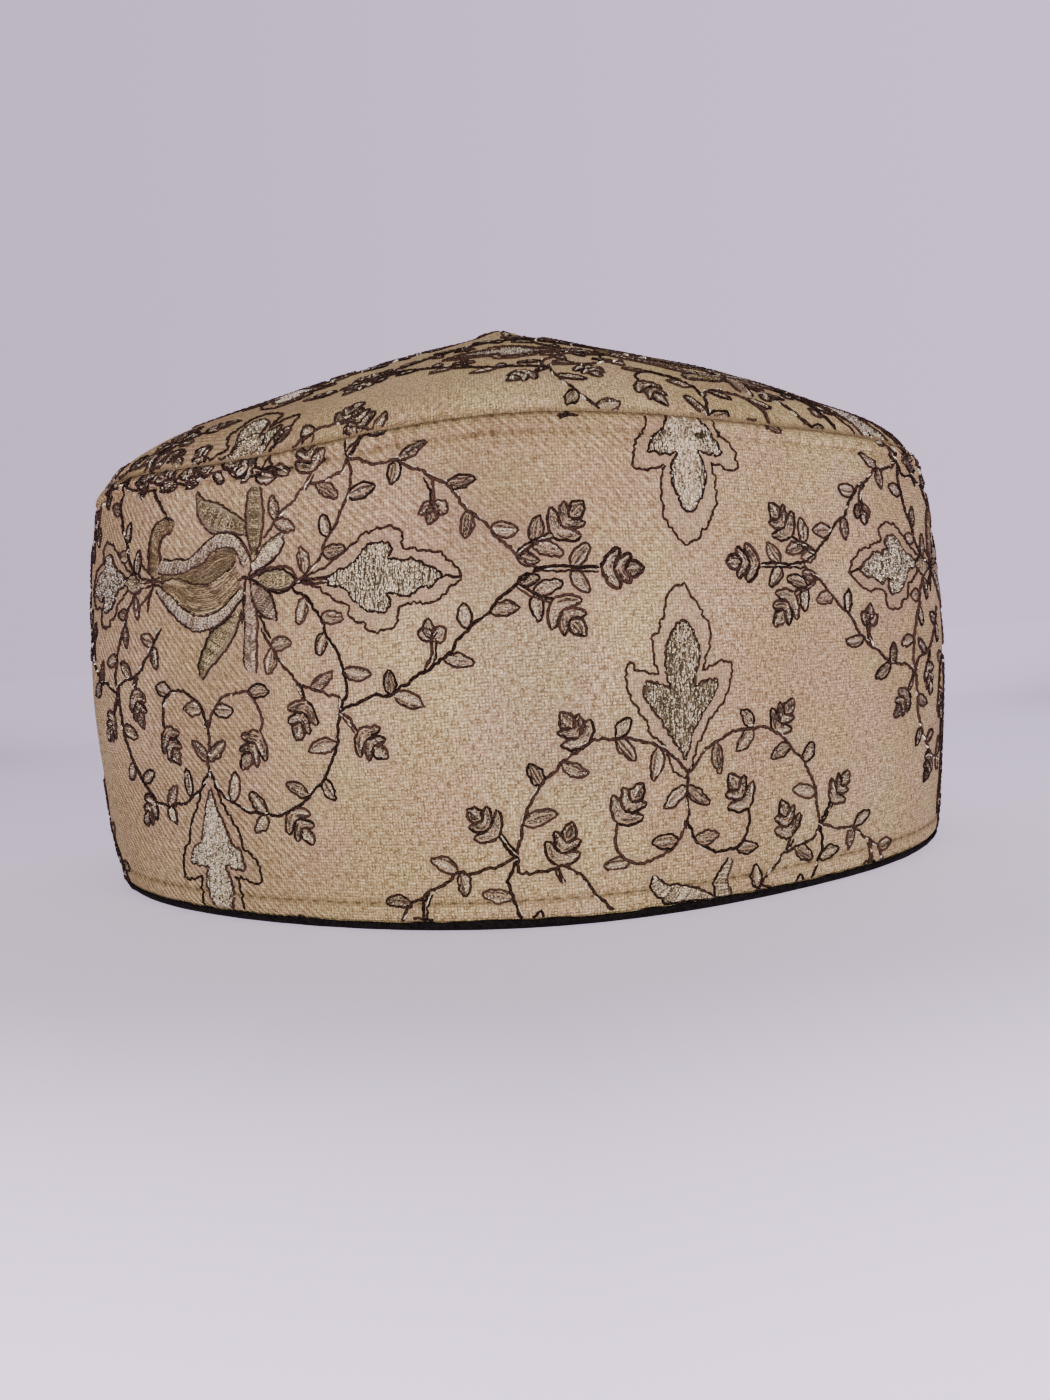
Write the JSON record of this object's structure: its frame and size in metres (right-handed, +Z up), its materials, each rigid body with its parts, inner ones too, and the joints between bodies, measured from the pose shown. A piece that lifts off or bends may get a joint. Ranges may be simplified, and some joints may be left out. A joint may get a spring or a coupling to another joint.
{
  "type": "embroidered cap",
  "caption": "Stiff round cloth cap with an upright side band, a low conical crown with a blunt peak, and an open lined hollow for the head.",
  "frame": {"origin": "on the surface that the cap rests on, under the middle of its widest ring", "axes": "+Z up along the cap's height, -Y towards the front, +X to the right seen from the front"},
  "size_m": [0.1918, 0.1988, 0.1211],
  "materials": {
    "cream_cloth": "fine cream-tan basket weave on a stiff backing",
    "black_lining": "short black nap",
    "outline_thread": "dark brown twisted embroidery thread",
    "metallic_thread": "silver-beige metallic embroidery thread",
    "gold_thread": "olive-gold satin stitch",
    "sewing_thread": "cream cotton sewing thread"
  },
  "bodies": {
    "root": {"band": "cream_cloth", "crown": "cream_cloth", "lining": "black_lining"}
  },
  "joints": []
}
